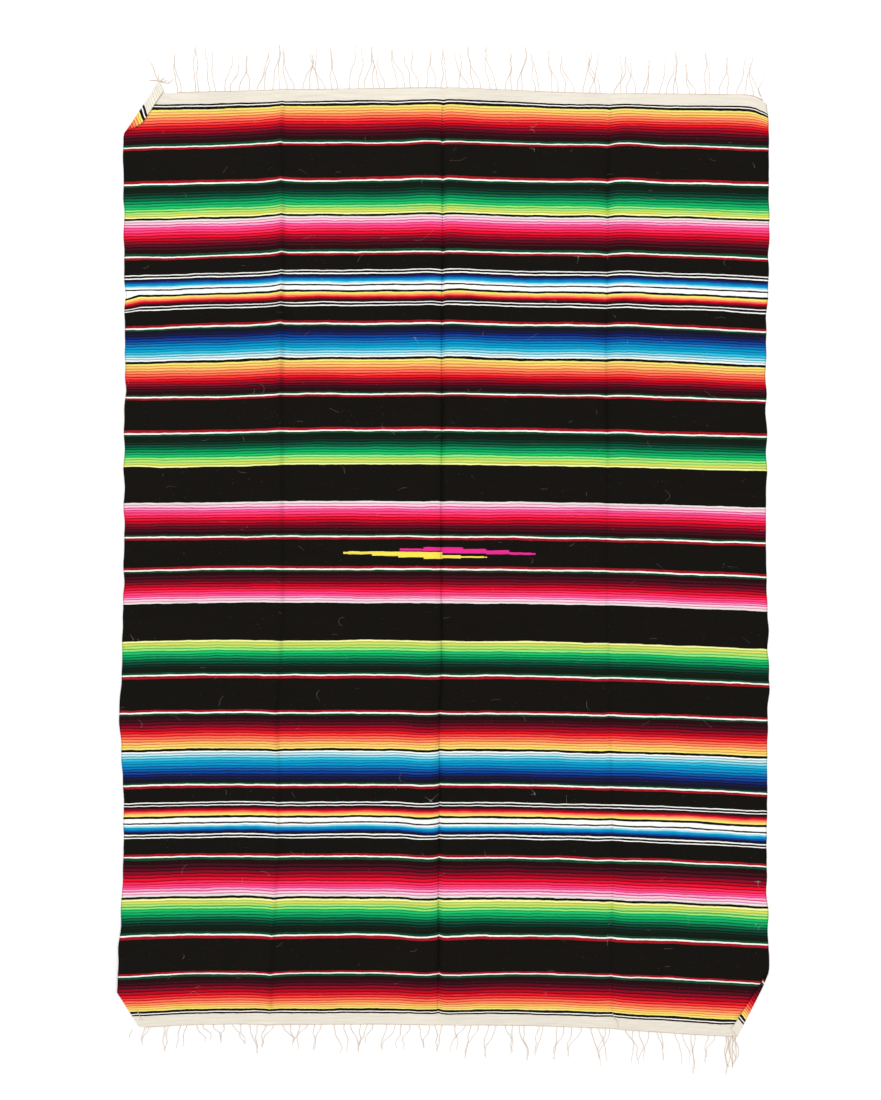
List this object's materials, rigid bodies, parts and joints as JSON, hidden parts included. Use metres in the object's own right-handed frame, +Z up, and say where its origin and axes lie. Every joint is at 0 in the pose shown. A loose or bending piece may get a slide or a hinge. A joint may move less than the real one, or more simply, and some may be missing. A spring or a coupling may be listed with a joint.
{
  "type": "serape blanket laid flat",
  "caption": "Weft-striped woven serape laid flat, with fold creases, turned corners and loose warp fringe at both ends.",
  "frame": {"origin": "middle of the serape's footprint, on the floor that it lies on", "axes": "+X across the cloth from its left selvedge to its right one, +Y along the cloth to its far end, +Z up"},
  "size_m": [1.4894, 2.3592, 0.0207],
  "materials": {
    "woven_wool": "matt, slightly fuzzy",
    "cotton_warp": "matt"
  },
  "bodies": {
    "root": {"serape_panel": "woven_wool", "fringe_far": "cotton_warp", "fringe_near": "cotton_warp"}
  },
  "joints": []
}
